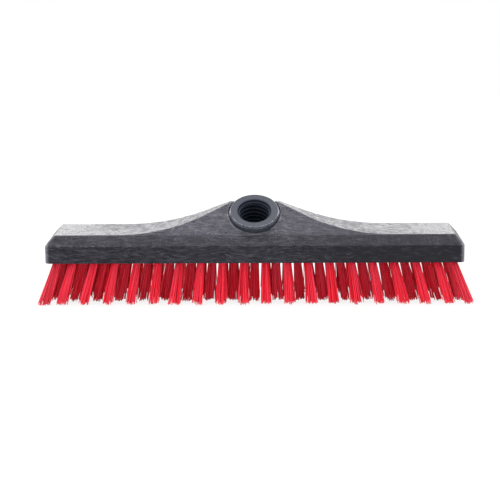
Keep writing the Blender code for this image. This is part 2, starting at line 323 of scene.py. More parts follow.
def base_outline():
    """(inset, height) of the block's side: a quarter arc at the sole, an upright, an arc
    through the crease, the chamfer, and an arc over the top edge."""
    sole = np.linspace(0, QUARTER, EDGE_STEPS + 1)
    crease = np.linspace(0, CHAMFER_LEAN, EDGE_STEPS + 1)
    top = np.linspace(CHAMFER_LEAN, QUARTER, EDGE_STEPS + 1)
    crease_start = CREASE_Z - CREASE_RADIUS * math.tan(CHAMFER_LEAN / 2)
    top_start = FLAT_Z - CREASE_Z - TOP_EDGE_RADIUS * (1 - math.sin(CHAMFER_LEAN))
    centre = top_start * math.tan(CHAMFER_LEAN) + TOP_EDGE_RADIUS * math.cos(CHAMFER_LEAN)
    inset = (
        SOLE_EDGE_RADIUS * (1 - np.sin(sole)),
        CREASE_RADIUS * (1 - np.cos(crease)),
        centre - TOP_EDGE_RADIUS * np.cos(top),
    )
    height = (
        SOLE_Z + SOLE_EDGE_RADIUS * (1 - np.cos(sole)),
        crease_start + CREASE_RADIUS * np.sin(crease),
        FLAT_Z - TOP_EDGE_RADIUS * (1 - np.sin(top)),
    )
    return np.concatenate(inset), np.concatenate(height)


def hump_profile():
    """(half length, height) of the hump from the front: a long hollow arc up from the
    flat end, a straight slope, and a short arc over to the ridge."""
    bend = 1 - math.cos(HUMP_SLOPE)
    both = HUMP_FOOT_RADIUS + HUMP_SHOULDER_RADIUS
    straight_run = (RIDGE_Z - FLAT_Z - both * bend) / math.tan(HUMP_SLOPE)
    foot_x = RIDGE_LENGTH / 2 + straight_run + both * math.sin(HUMP_SLOPE)
    foot = np.linspace(0, HUMP_SLOPE, FOOT_STEPS + 1)
    shoulder = np.linspace(HUMP_SLOPE, 0, SHOULDER_STEPS + 1)
    half_length = (
        foot_x - HUMP_FOOT_RADIUS * np.sin(foot),
        RIDGE_LENGTH / 2 + HUMP_SHOULDER_RADIUS * np.sin(shoulder),
    )
    height = (
        FLAT_Z + HUMP_FOOT_RADIUS * (1 - np.cos(foot)),
        RIDGE_Z - HUMP_SHOULDER_RADIUS * (1 - np.cos(shoulder)),
    )
    return np.concatenate(half_length), np.concatenate(height)


def hump_half_width(height, foot_half_width):
    """Half the hump's width at a height: a straight face up to the ridge, whose long
    edges follow an arc."""
    slope = math.atan2(foot_half_width - RIDGE_WIDTH / 2, RIDGE_Z - FLAT_Z)
    below = RIDGE_Z - height
    arc_rise = RIDGE_EDGE_RADIUS * (1 - math.sin(slope))
    centre = RIDGE_WIDTH / 2 + arc_rise * math.tan(slope) - RIDGE_EDGE_RADIUS * math.cos(slope)
    arc = RIDGE_EDGE_RADIUS**2 - (RIDGE_EDGE_RADIUS - np.minimum(below, arc_rise)) ** 2
    face = RIDGE_WIDTH / 2 + below * math.tan(slope)
    return np.where(below >= arc_rise, face, centre + np.sqrt(arc))


def rounded_rings(half_length, half_width, radius, height):
    """Rectangles with round corners, one for each height: four quarter arcs, whose
    centres lie a radius inside the corners."""
    turn = np.repeat(np.arange(4), CORNER_STEPS + 1)
    angle = QUARTER * (turn + np.tile(np.linspace(0, 1, CORNER_STEPS + 1), 4))
    side_x = np.array((1, -1, -1, 1))[turn]
    side_y = np.array((1, 1, -1, -1))[turn]
    x = side_x * (half_length - radius)[:, None] + radius[:, None] * np.cos(angle)
    y = side_y * (half_width - radius)[:, None] + radius[:, None] * np.sin(angle)
    return np.stack((x, y, np.broadcast_to(height[:, None], x.shape)), -1)


def block_loft():
    """The block without its socket: rings up the side, then rings up the hump. The ring
    that ends the side and the one that starts the hump share a height."""
    inset, side_z = base_outline()
    share = np.clip((side_z - CREASE_Z) / (FLAT_Z - CREASE_Z), 0, 1)
    radius = CORNER_RADIUS + (TOP_CORNER_RADIUS - CORNER_RADIUS) * share
    radius = radius - np.where(side_z < CREASE_Z, inset, 0)
    side = rounded_rings(BLOCK_LENGTH / 2 - inset, BLOCK_WIDTH / 2 - inset, radius, side_z)
    foot_half_width = BLOCK_WIDTH / 2 - inset[-1] - HUMP_LEDGE
    half_length, hump_z = hump_profile()
    half_width = hump_half_width(hump_z, foot_half_width)
    radius = np.minimum(HUMP_EDGE_RADIUS, half_width / 2)
    hump = rounded_rings(half_length, half_width, radius, hump_z)
    return capped_tube("foam_block", np.concatenate((side, hump)))


def hump_top(x, y):
    """Height of the hump's outside over a point: the lower of its end slope and its
    long face, each read back from its own profile. Below the face lies the chamfer."""
    half_length, end_z = hump_profile()
    face_z = np.linspace(FLAT_Z, RIDGE_Z, FACE_STEPS)
    inset = base_outline()[0]
    face_y = hump_half_width(face_z, BLOCK_WIDTH / 2 - inset[-1] - HUMP_LEDGE)
    over_end = np.interp(np.abs(x), half_length[::-1], end_z[::-1])
    face_y = np.concatenate(((BLOCK_WIDTH / 2, BLOCK_WIDTH / 2 - CHAMFER_RUN), face_y))
    face_z = np.concatenate(((CREASE_Z, FLAT_Z), face_z))
    over_face = np.interp(np.abs(y), face_y[::-1], face_z[::-1])
    return np.minimum(over_end, over_face)


def on_socket(radius, height, angle):
    """Points at a radius, height and angle about the socket's axis. Heights count from
    the mouth, and the angle runs from across the brush towards uphill."""
    radius, height, angle = np.broadcast_arrays(radius, height, angle)
    radial = np.cos(angle)[..., None] * ACROSS + np.sin(angle)[..., None] * UPHILL
    return MOUTH + radius[..., None] * radial + height[..., None] * AXIS


def socket_tube(name, profile):
    """A profile of (radius, height) turned round the socket's axis."""
    profile = np.array(profile)
    angle = full_turn(TURN_STEPS)
    return capped_tube(name, on_socket(profile[:, :1], profile[:, 1:], angle))


def surface_height(radius, angle):
    """Height at which a line along the socket's axis leaves the block, found by halving
    an interval for every line at once. Behind the ridge it is the boss's top."""
    radius, angle = np.broadcast_arrays(radius, angle)
    low = np.full(angle.shape, -COLLAR_DEPTH)
    high = np.full(angle.shape, OVERRUN)
    for _ in range(HALVINGS):
        middle = (low + high) / 2
        point = on_socket(radius, middle, angle)
        inside = point[..., 2] < hump_top(point[..., 0], point[..., 1])
        low, high = np.where(inside, middle, low), np.where(inside, high, middle)
    return np.where(np.sin(angle) > 0, np.maximum(low, -BOSS_TOP_DEPTH), low)


def seat_wall(angle):
    """Radius of the seat's wall. It touches the collar in front and stands off it at
    both sides, by a bell curve of the angle's sine."""
    side = bell(np.sin(angle), SIDE_GAP_MIDDLE, SIDE_GAP_SPREAD)
    return COLLAR_RADIUS + SEAT_GAP + SIDE_GAP * side


def bead_form(angle):
    """(rise, width) of the bead that the foam forms against the collar. It stands on the
    front half, highest a little left of the middle by a bell curve of the angle."""
    ahead = np.clip(BEAD_START - np.sin(angle) * BEAD_SLOPE, 0, 1)
    front = bell(np.mod(angle, TURN), BEAD_MIDDLE, BEAD_SPREAD)
    rise = BEAD_SIDE_RISE * ahead + BEAD_FRONT_RISE * front
    return rise, (BEAD_SIDE_WIDTH + BEAD_FRONT_WIDTH * front) * ahead


def bead_height(radius, angle):
    """Height of the block with its bead, which falls away from the wall by a smooth
    cubic and rounds down to the wall."""
    rise, width = bead_form(angle)
    past_wall = np.maximum(radius - seat_wall(angle), 0)
    out = np.clip(past_wall / np.maximum(width, BEAD_ROUND), 0, 1)
    rounded = np.clip(1 - past_wall / BEAD_ROUND, 0, 1)
    shape = (1 - out) ** 2 * (1 + 2 * out)
    drop = BEAD_ROUND * rounded**2 * np.clip(rise / BEAD_SIDE_RISE, 0, 1)
    return surface_height(radius, angle) + rise * shape - drop


def lip_bead():
    """A plug whose top is the bead, sunk by a hair where the bead ends. Behind the
    collar it stays inside the wall, and the seat takes its middle out again."""
    angle = full_turn(SEAT_STEPS)
    wall = seat_wall(angle)
    out_r = wall - BEAD_ROUND + BEAD_SHARES[:, None] * (BEAD_ROUND + bead_form(angle)[1])
    out_h = bead_height(out_r, angle) - BEAD_SINK
    ones = np.ones((1, len(angle)))
    under = -COLLAR_DEPTH * ones
    inner = (INSERT_RADIUS + CLEARANCE) * ones
    all_r = np.concatenate((inner, out_r[:1], out_r, inner))
    all_h = np.concatenate((under, under, out_h, out_h[-1:]))
    return capped_tube("lip_bead", on_socket(all_r, all_h, angle))


def seat_cutter():
    """The stepped hole for the insert. Its wall ends in a rounded lip: a parabola from
    the wall to the block's surface, pulled by the corner between them, which lies at
    least LIP_TOP_DEPTH below the rim. The lip widens to a dish beside the ridge, by a
    bell curve of the angle's sine, and starts lower on the wall where it is narrow."""
    angle = full_turn(SEAT_STEPS)
    size = LIP_ROUND + RIDGE_DISH * bell(np.sin(angle), DISH_MIDDLE, DISH_SPREAD)
    wall = seat_wall(angle)
    near = np.minimum(bead_height(wall, angle), -LIP_TOP_DEPTH)
    far = bead_height(wall + size, angle)
    share = np.linspace(0, 1, LIP_STEPS + 1)[:, None]
    lip_r = wall + share**2 * size
    drop = (1 - share) ** 2 * size * LIP_DROP_SHARE * (size < RIDGE_DISH / 2)
    lip_h = near - drop + share**2 * (far - near)
    floor = -INSERT_DEPTH - CLEARANCE
    ledge = -COLLAR_DEPTH - CLEARANCE
    narrow = INSERT_RADIUS + CLEARANCE
    ones = np.ones((1, len(angle)))
    lower_r = np.concatenate((narrow * ones, narrow * ones, wall * ones))
    lower_h = np.array((floor, ledge, ledge))[:, None] * ones
    all_r = np.concatenate((lower_r, lip_r, lip_r[-1:] + OVERRUN))
    all_h = np.concatenate((lower_h, lip_h, 3 * OVERRUN * ones))
    return capped_tube("insert_seat", on_socket(all_r, all_h, angle))


def boss_form():
    """Round boss behind the ridge: a collar wall and a foot that narrows to the back."""
    radius = COLLAR_RADIUS + CLEARANCE + BOSS_WALL
    foot_top = -BOSS_TOP_DEPTH - BOSS_STRAIGHT
    arc = np.linspace(0, QUARTER, BOSS_ARC_STEPS + 1)
    edge_r = radius - BOSS_EDGE_CHAMFER * (1 - np.cos(arc))
    edge_h = -BOSS_TOP_DEPTH - BOSS_EDGE_CHAMFER * (1 - np.sin(arc))
    foot_r = INSERT_RADIUS + CLEARANCE + BOSS_FOOT_WALL
    profile = [(foot_r, foot_top - BOSS_FOOT_LENGTH), (radius, foot_top)]
    profile += list(zip(edge_r, edge_h))
    return socket_tube("socket_boss", profile)


def tuft_places(column):
    """(x, y) of the tufts in one crosswise line. Even lines meet the two short rows, odd
    lines the three long rows, and the last line both."""
    x = column * SHORT_ROW_END / LAST_COLUMN
    tufts = [(x, row * ROW_SPACING) for row in (-1, 1)] if column % 2 == 0 else []
    if abs(column) == LAST_COLUMN:
        x = math.copysign(LONG_ROW_END, column)
    if column % 2 or abs(column) == LAST_COLUMN:
        tufts += [(x, row * ROW_SPACING) for row in (-2, 0, 2)]
    return tufts


def hole_cutter():
    """One drilled and countersunk hole a tuft: a circle carried up a profile of cone
    and wall, repeated at every tuft's place."""
    places = [p for c in range(-LAST_COLUMN, LAST_COLUMN + 1) for p in tuft_places(c)]
    places = np.array(places)[:, None, None, :]
    profile = np.concatenate((HOLE_SINK * HOLE_CONE, ((0, TUFT_HOLE_DEPTH),)))
    radius = profile[:, 0] + TUFT_HOLE_RADIUS
    height = SOLE_Z + profile[:, 1]
    angle = full_turn(HOLE_SIDES)
    circle = np.stack((np.cos(angle), np.sin(angle)), -1)
    flat = places + radius[:, None, None] * circle
    heights = np.broadcast_to(height[:, None, None], (*flat.shape[:3], 1))
    points = np.concatenate((flat, heights), -1)
    count, rows, columns = points.shape[:3]
    shape = capped_faces(rows, columns)
    faces = [[i + hole * rows * columns for i in face] for hole in range(count) for face in shape]
    mesh = bpy.data.meshes.new("tuft_holes")
    mesh.from_pydata(points.reshape(-1, 3), [], faces)
    return mesh


def foam_block():
    """The lofted block with its boss joined on and the seat and tuft holes cut in."""
    block = add_piece("foam_block", block_loft())
    tools = []
    steps = (
        (boss_form(), "UNION"),
        (lip_bead(), "UNION"),
        (seat_cutter(), "DIFFERENCE"),
        (hole_cutter(), "DIFFERENCE"),
    )
    for mesh, operation in steps:
        tool = add_piece(mesh.name, mesh)
        modifier = block.modifiers.new(mesh.name, "BOOLEAN")
        modifier.operation = operation
        modifier.solver = "EXACT"
        modifier.object = tool
        tools.append(tool)
    graph = bpy.context.evaluated_depsgraph_get()
    finished = bpy.data.meshes.new_from_object(block.evaluated_get(graph))
    block.modifiers.clear()
    block.data = finished
    for tool in tools:
        bpy.data.objects.remove(tool)
    finished.shade_smooth()
    finished.set_sharp_from_angle(angle=SMOOTH_ANGLE)
    even = block.modifiers.new("flat_faces_stay_flat", "WEIGHTED_NORMAL")
    even.keep_sharp = True
    return block


def thread_radius(height, angle):
    """Radius of the bore with its thread: a narrow ridge with sloping flanks, whose
    place rises by one pitch in each turn. A level ridge at the thread's start closes
    it towards the mouth."""
    phase = ((height + FIRST_CREST) / THREAD_PITCH + THREAD_LEAD_SHARE - angle / TURN) % 1
    from_crest = np.where(height > -THREAD_START, 1, np.minimum(phase, 1 - phase) * 2)
    from_start = np.abs(height + THREAD_START) / THREAD_PITCH * 2
    groove = np.minimum(from_crest, from_start) - CREST_FLAT_SHARE
    groove = np.clip(groove / THREAD_FLANK_SHARE, 0, 1)
    groove = groove * groove * (3 - 2 * groove)
    run_out = np.clip((height + BORE_DEPTH) / THREAD_PITCH, 0, 1)
    return CREST_RADIUS + THREAD_DEPTH * groove * run_out


def threaded_insert():
    """A blind cup turned round the socket's axis. The profile runs up the outside, over
    the rim, whose two outer corners are parabolas, and down the threaded bore. In the
    bore its UV map holds the share of the bore's depth and the share of the thread's.
    Outside, the second is the share of painted highlight on the outer corners: a hat over each."""
    angle = full_turn(TURN_STEPS)
    arc = np.linspace(0, 1, RIM_ARC_STEPS + 1)[:, None]
    foot = INSERT_RADIUS - COLLAR_CHAMFER_DEPTH
    outside = [(foot, -INSERT_DEPTH), (INSERT_RADIUS, -INSERT_DEPTH + COLLAR_CHAMFER_DEPTH)]
    outside += [(INSERT_RADIUS, -COLLAR_DEPTH), (COLLAR_RADIUS, -COLLAR_DEPTH)]
    path = [outside[-1], (COLLAR_RADIUS, -COLLAR_CHAMFER_DEPTH), (RIM_RADIUS, 0), (MOUTH_RADIUS, 0)]
    path = np.array(path)
    profile = [np.array(outside)]
    for before, corner, after in zip(path, path[1:], path[2:]):
        coming = (corner - before) / np.linalg.norm(corner - before)
        leaving = (after - corner) / np.linalg.norm(after - corner)
        bend = arc**2 * leaving - (1 - arc) ** 2 * coming
        profile.append(corner + bend * COLLAR_CHAMFER_DEPTH * RIM_ROUND_SHARE)
    profile.append(np.array([(MOUTH_RADIUS, 0), (THROAT_RADIUS, -MOUTH_CHAMFER_DEPTH)]))
    profile = np.concatenate(profile)
    depth = np.linspace(-MOUTH_CHAMFER_DEPTH * BORE_START_SHARE, -BORE_DEPTH, BORE_RINGS)[:, None]
    bore = thread_radius(depth, angle)
    ones = np.ones((1, len(angle)))
    radius = np.concatenate((profile[:, :1] * ones, bore))
    height = np.concatenate((profile[:, 1:] * ones, depth * ones))
    mesh = capped_tube("handle_insert", on_socket(radius, height, angle))
    inner = np.repeat(np.arange(len(radius)) >= len(profile), len(angle))
    deep = np.where(inner, -height.ravel() / BORE_DEPTH, 0)
    # the lower corner of the rim gets a quarter of the upper one's painted highlight
    painted_rim_highlight = np.zeros((len(radius), 1))
    hat = 4 * arc * (1 - arc)
    painted_rim_highlight[len(outside) : len(outside) + 2 * len(arc)] = np.concatenate((hat / 4, hat))
    painted_rim_highlight = (painted_rim_highlight * ones).ravel()
    groove = np.where(inner, (radius.ravel() - CREST_RADIUS) / THREAD_DEPTH, painted_rim_highlight)
    corner = np.empty(len(mesh.loops), dtype=np.int32)
    mesh.loops.foreach_get("vertex_index", corner)
    layer = mesh.uv_layers.new(name="bore_and_groove")
    layer.data.foreach_set("uv", np.stack((deep[corner], groove[corner]), -1).ravel())
    in_bore = np.repeat(np.arange(len(radius) - 1) >= len(profile) - 2, len(angle))
    # the caps come last: the foot outside, and the bore's blind end
    mesh.polygons.foreach_set("material_index", np.append(in_bore, (0, 1)).astype(np.int32))
    item = add_piece("handle_insert", mesh)
    mesh.shade_smooth()
    mesh.set_sharp_from_angle(angle=SMOOTH_ANGLE)
    return item


def filament_roots(random, count):
    """Places in a tuft's hole: a sunflower spiral, in which each filament turns by the
    golden angle and its radius grows with the square root of its number."""
    number = np.arange(count) + 0.5
    angle = number * math.pi * (3 - math.sqrt(5)) + random.uniform(0, TURN)
    radius = TUFT_RADIUS * np.sqrt(number / count) * random.uniform(*ROOT_RADIUS_SHARES, count)
    return np.stack((radius * np.cos(angle), radius * np.sin(angle)), -1)


def bristle_tufts(name, column, random):
    """The filaments of one crosswise line of tufts. Each is a prism of five sides whose
    middle moves sideways by its lean times the depth plus a bow times the depth's
    square. It spreads from its tuft's middle, and its tip is cut level, near the floor."""
    roots, leans, bows, tips = [], [], [], []
    for x, y in tuft_places(column):
        offset = filament_roots(random, FILAMENTS)
        tilts = (END_LEAN * x / LONG_ROW_END, SIDE_LEAN * y / (2 * ROW_SPACING))
        lean = np.array([math.tan(tilt) for tilt in tilts])
        lean = lean + random.normal(0, TUFT_LEAN_JITTER, 2)
        spread = (TIP_SPREAD + random.normal(0, TIP_SPREAD_JITTER) - 1) / SOLE_Z
        stray = np.where(random.random((FILAMENTS, 1)) < STRAY_SHARE, STRAY_TIMES, 1.0)
        roots.append(np.array((x, y)) + offset)
        jitter = random.normal(0, FILAMENT_JITTER, (FILAMENTS, 2))
        leans.append(lean + spread * offset + jitter * stray)
        bows.append(random.normal(0, FILAMENT_BOW, (FILAMENTS, 2)))
        turn = np.arctan2(offset[:, 1], offset[:, 0]) / TURN + 0.5
        clump = np.minimum((turn * CLUMPS).astype(int), CLUMPS - 1)
        leans[-1] = leans[-1] + random.normal(0, CLUMP_LEAN, (CLUMPS, 2))[clump]
        tips.append(np.abs(random.normal(0, CLUMP_UNEVENNESS, CLUMPS))[clump])
    roots, leans, bows, tips = map(np.concatenate, (roots, leans, bows, tips))
    count = len(roots)
    least, most = ((limit - roots[:, 1]) / SOLE_Z for limit in (-TIP_LIMIT, TIP_LIMIT))
    leans[:, 1] = np.clip(leans[:, 1], least, most)
    tips = np.minimum(tips + np.abs(random.normal(0, TIP_UNEVENNESS, count)), TIP_RISE)
    root_z = SOLE_Z + TUFT_HOLE_DEPTH / 2
    share = np.linspace(0, 1, FILAMENT_RINGS)
    height = root_z + (tips[:, None] - root_z) * share
    depth = SOLE_Z - height
    middle = roots[:, None] + leans[:, None] * depth[..., None]
    middle = middle + bows[:, None] * (np.maximum(depth, 0) ** 2)[..., None]
    spin = random.uniform(0, TURN, count)
    angle = spin[:, None] - full_turn(FILAMENT_SIDES)
    circle = FILAMENT_RADIUS * np.stack((np.cos(angle), np.sin(angle)), -1)
    flat = middle[:, :, None] + circle[:, None]
    heights = np.broadcast_to(height[:, :, None, None], (*flat.shape[:3], 1))
    points = np.concatenate((flat, heights), -1)
    size = FILAMENT_RINGS * FILAMENT_SIDES
    first = np.arange(count)[:, None, None] * size
    sides = (closed_quads(FILAMENT_RINGS, FILAMENT_SIDES)[None] + first).reshape(-1, 4)
    cap = np.arange(FILAMENT_SIDES)
    ends = np.array((cap[::-1], cap + size - FILAMENT_SIDES))
    ends = (ends[None] + first).reshape(-1, FILAMENT_SIDES)
    mesh = bpy.data.meshes.new(name)
    mesh.from_pydata(points.reshape(-1, 3), [], sides.tolist() + ends.tolist())
    tone = np.repeat(random.random(count), size)
    along = np.tile(np.repeat(share, FILAMENT_SIDES), count)
    corner = np.concatenate((sides.ravel(), ends.ravel()))
    layer = mesh.uv_layers.new(name="tone_and_length")
    layer.data.foreach_set("uv", np.stack((tone[corner], along[corner]), -1).ravel())
    mesh.shade_smooth()
    mesh.set_sharp_from_angle(angle=FILAMENT_SMOOTH_ANGLE)
    return add_piece(name, mesh)


# Finishes. A MapRange node takes a value, the range that it is read in, and the range
# that it gives, of which 0 and 1 are left out.


def foam_polypropylene():
    """Polypropylene structural foam, injection moulded at low pressure. The gas leaves
    swirls drawn out along the flow: paler streaks, fine wrinkles, a pebbled top, dark
    marks and pores. Painted light makes the skin paler over the hump, most of all on its
    long faces, and a painted reflection makes it paler at the upright corners. Painted
    highlights run along the crease and round the bead in front of the collar, and painted
    shade darkens the right arm."""
    material, tree = new_tree("polypropylene_structural_foam_moulded")
    coordinates = add_node(tree, "TexCoord", {}, {})
    place = coordinates.outputs["Object"]
    across, depth, level = add_node(tree, "SeparateXYZ", {}, (place,)).outputs[:]
    normal = add_node(tree, "SeparateXYZ", {}, (coordinates.outputs["Normal"],)).outputs[:]
    out, aside, facing = (
        add_node(tree, "Math", ABSOLUTE, (side,)) for side in (across, depth, normal[1])
    )

    # the flow wanders by about 3 mm over FLOW_LENGTH
    wander = add_node(
        tree, "TexNoise", {}, {"Vector": place, "Scale": 1 / FLOW_LENGTH, "Detail": 2.0}
    )
    centred = add_node(tree, "VectorMath", SUBTRACT, (wander.outputs["Color"], (0.5, 0.5, 0.5)))
    shift = add_node(tree, "VectorMath", SCALE, {0: centred, "Scale": FLOW_SHIFT})
    flow = add_node(tree, "VectorMath", ADD, (place, shift))

    # streaks and marks lie along the flow, the pebbles lie in the top's plane and run
    # down the sides, and the dashes break up the painted highlights
    patterns = (
        ("TexNoise", flow, STREAK_SIZE, {"Detail": 6.0, "Roughness": 0.74, "Distortion": 0.5}),
        ("TexNoise", flow, MARK_SIZE, {"Detail": 4.0, "Roughness": 0.6, "Distortion": 0.8}),
        ("TexNoise", flow, PEBBLE_SIZE, {"Detail": 4.0, "Roughness": 0.65}),
        ("TexNoise", place, DASH_SIZE, {"Detail": 5.0}),
        ("TexVoronoi", flow, PORE_SIZE, {}),
    )
    drawn = []
    for kind, spot, size, texture in patterns:
        scale = [1 / side for side in size]
        stretched = add_node(tree, "Mapping", {}, {"Vector": spot, "Scale": scale})
        drawn.append(add_node(tree, kind, {}, {"Vector": stretched, "Scale": 1.0, **texture}))
    streak, mark, pebble, dash, cell = drawn

    # distances from the crease, and from the crest of the bead, a ring about the
    # socket's axis, where both carry a painted highlight
    from_mouth = add_node(tree, "VectorMath", SUBTRACT, (place, MOUTH.tolist()))
    off_axis = add_node(tree, "VectorMath", CROSS_PRODUCT, (from_mouth, AXIS.tolist()))
    radius = add_node(tree, "VectorMath", LENGTH, (off_axis,)).outputs["Value"]
    off_crease, off_ring = (
        add_node(tree, "Math", ABSOLUTE, (add_node(tree, "Math", SUBTRACT, pair),))
        for pair in ((level, CREASE_Z), (radius, BEAD_RING_RADIUS))
    )

    rows = {
        "painted_right_shade": (across, 0.02, 0.09, 0.0, -0.07),
        "hump": (level, FLAT_Z - TOP_EDGE_RADIUS, FLAT_Z),
        "long_face": (facing, 0.2, 0.65, 0.38),
        "marks": (mark, 0.55, 0.68, 0.0, 0.7),
        "cells": (cell, 0.1, 0.24, 1.0, 0.0),
        "among_marks": (mark, 0.5, 0.6),
        "dashes": (dash, 0.45, 0.7),
        "crease": (off_crease, 0.0001, 0.0005, 1.0, 0.0),
        "left": (across, -0.12, -0.08, 0.8, 0.12),
        "front": (depth, -0.028, -0.024, 1.0, 0.2),
        "ring": (off_ring, 0.0, 0.0005, 0.6, 0.0),
        "above_flat": (level, FLAT_Z, FLAT_Z + 0.006),
        "before_collar": (depth, -0.011, -0.006, 1.0, 0.0),
        "endwards": (out, 0.098, 0.138, -0.045, 0.14),
        "flat": (normal[2], 0.85, 0.97),
        "upward": (normal[2], 0.3, 0.8),
    }
    masks = {name: add_node(tree, "MapRange", {}, row) for name, row in rows.items()}
    for name, row in (
        ("end", (out, BLOCK_LENGTH / 2 - CORNER_RADIUS, BLOCK_LENGTH / 2)),
        ("near_corner", (aside, 0.0250, 0.0285)),
    ):
        masks[name] = add_node(tree, "MapRange", SMOOTH, row)
    # painted highlights: the crease's strongest on the left and in front, the ring's in
    # front alone
    for name, factors in (
        ("corners", ("end", "near_corner")),
        ("painted_light", ("hump", "long_face")),
        ("pores", ("cells", "among_marks")),
        ("painted_crease_highlight", ("crease", "dashes", "left", "front")),
        ("painted_ring_highlight", ("ring", "above_flat", "before_collar", "dashes")),
    ):
        product = masks[factors[0]]
        for factor in factors[1:]:
            product = add_node(tree, "Math", MULTIPLY, (product, masks[factor]))
        masks[name] = product
    # corners marks the upright corners, where the skin carries a painted reflection
    corners = masks["corners"]
    masks["painted_corner_sheen"] = add_node(tree, "Math", MULTIPLY, (corners, PAINTED_CORNER_SHEEN_SHARE))

    # painted shade darkens the right arm's streaks, and a painted reflection pales the corners'
    raised = add_node(tree, "Math", ADD, (masks["painted_right_shade"], streak))
    raised = add_node(tree, "Math", MULTIPLY_ADD, (corners, PAINTED_CORNER_LIFT, raised))
    pale = add_node(tree, "MapRange", {}, (raised, 0.46, 0.63))
    painted_light = add_node(tree, "Math", MAXIMUM, (masks["painted_light"], corners))
    # the skin's own colour, and the same skin made paler by painted light
    plain_skin, painted_lit_skin = (
        add_node(tree, "Mix", COLOURS, {SHARE: pale, UNDER: linear(dark), OVER: linear(light)})
        for dark, light in (("#09090b", "#3f3e45"), ("#37363c", "#5d5c64"))
    )
    colour = add_node(
        tree,
        "Mix",
        COLOURS,
        {SHARE: painted_light, UNDER: plain_skin.outputs[MIXED], OVER: painted_lit_skin.outputs[MIXED]},
    ).outputs[MIXED]
    # laid over it: the corners' painted reflection, dark marks, pores, and painted highlights
    for name, layer in (
        ("painted_corner_sheen", "#74737a"),
        ("marks", "#0a090c"),
        ("pores", "#050507"),
        ("painted_crease_highlight", "#6a6871"),
        ("painted_ring_highlight", "#9a99a3"),
    ):
        colour = add_node(
            tree, "Mix", COLOURS, {SHARE: masks[name], UNDER: colour, OVER: linear(layer)}
        ).outputs[MIXED]

    # each pebble is a little glossier or duller than the next, and the flat tops are
    # glossier towards both ends and duller at the hump's foot
    clouded = add_node(tree, "Math", MULTIPLY_ADD, (wander, WANDER_SHARE, pebble))
    clouded = add_node(tree, "Math", MULTIPLY_ADD, (masks["endwards"], masks["flat"], clouded))
    gloss = add_node(tree, "MapRange", {}, (clouded, 0.50, 0.84, 0.52, 0.16))

    # wrinkles everywhere, less the pores, and pebbles on what faces up
    wrinkle = add_node(tree, "Math", SUBTRACT, (streak, masks["pores"]))
    fine = add_node(tree, "Math", MULTIPLY, (wrinkle, WRINKLE_HEIGHT))
    wrinkles = add_node(tree, "Bump", {}, {"Strength": 1.0, "Distance": 1.0, "Height": fine})
    relief = {"Strength": masks["upward"], "Distance": PEBBLE_HEIGHT, "Height": pebble}
    relief = add_node(tree, "Bump", {}, {**relief, "Normal": wrinkles})
    shader = add_node(
        tree,
        "BsdfPrincipled",
        {},
        {
            "Base Color": colour,
            "Roughness": gloss,
            "IOR": 1.40,
            "Specular Tint": linear("#eeecff"),
            "Normal": relief,
        },
    )
    add_node(tree, "OutputMaterial", {}, {"Surface": shader})
    return material


def insert_nylon():
    """Glass-filled nylon, injection moulded in a polished mould: smooth, slate grey, with
    a faint orange peel, a slightly uneven gloss and a painted highlight on its outer edges
    in front."""
    material, tree = new_tree("slate_nylon_injection_moulded")
    place = add_node(tree, "TexCoord", {}, {}).outputs["Object"]
    peel, cloud, dash = (
        add_node(tree, "TexNoise", {}, {"Vector": place, "Scale": 1 / size, "Detail": detail})
        for size, detail in ((PEEL_SIZE, 2.0), (CLOUD_SIZE, 4.0), (RIM_DASH_SIZE, 3.0))
    )
    tint = add_node(
        tree, "Mix", COLOURS, {SHARE: cloud, UNDER: linear("#2a2d34"), OVER: linear("#393c44")}
    )
    gloss = add_node(tree, "MapRange", {}, (cloud, 0.3, 0.7, 0.19, 0.29))

    # the painted highlight on the outer edges, which the UV map marks, is broken into dashes
    ribbon = add_node(tree, "UVMap", {"uv_map": "bore_and_groove"}, {})
    painted_edge_highlight = add_node(tree, "SeparateXYZ", {}, (ribbon,)).outputs[1]
    depth = add_node(tree, "SeparateXYZ", {}, (place,)).outputs[1]
    for row in ((depth, -0.008, 0.0, 1.0, 0.0), (dash, 0.44, 0.66)):
        mask = add_node(tree, "MapRange", {}, row)
        painted_edge_highlight = add_node(tree, "Math", MULTIPLY, (painted_edge_highlight, mask))
    tint = add_node(
        tree, "Mix", COLOURS, {SHARE: painted_edge_highlight, UNDER: tint.outputs[MIXED], OVER: linear("#8a8c96")}
    )
    relief = {"Strength": 1.0, "Distance": PEEL_HEIGHT, "Height": peel}
    relief = add_node(tree, "Bump", {}, relief)
    shader = add_node(
        tree,
        "BsdfPrincipled",
        {},
        {
            "Base Color": tint.outputs[MIXED],
            "Roughness": gloss,
            "IOR": 1.48,
            "Specular Tint": linear("#eef0ff"),
            "Normal": relief,
        },
    )
    add_node(tree, "OutputMaterial", {}, {"Surface": shader})
    return material


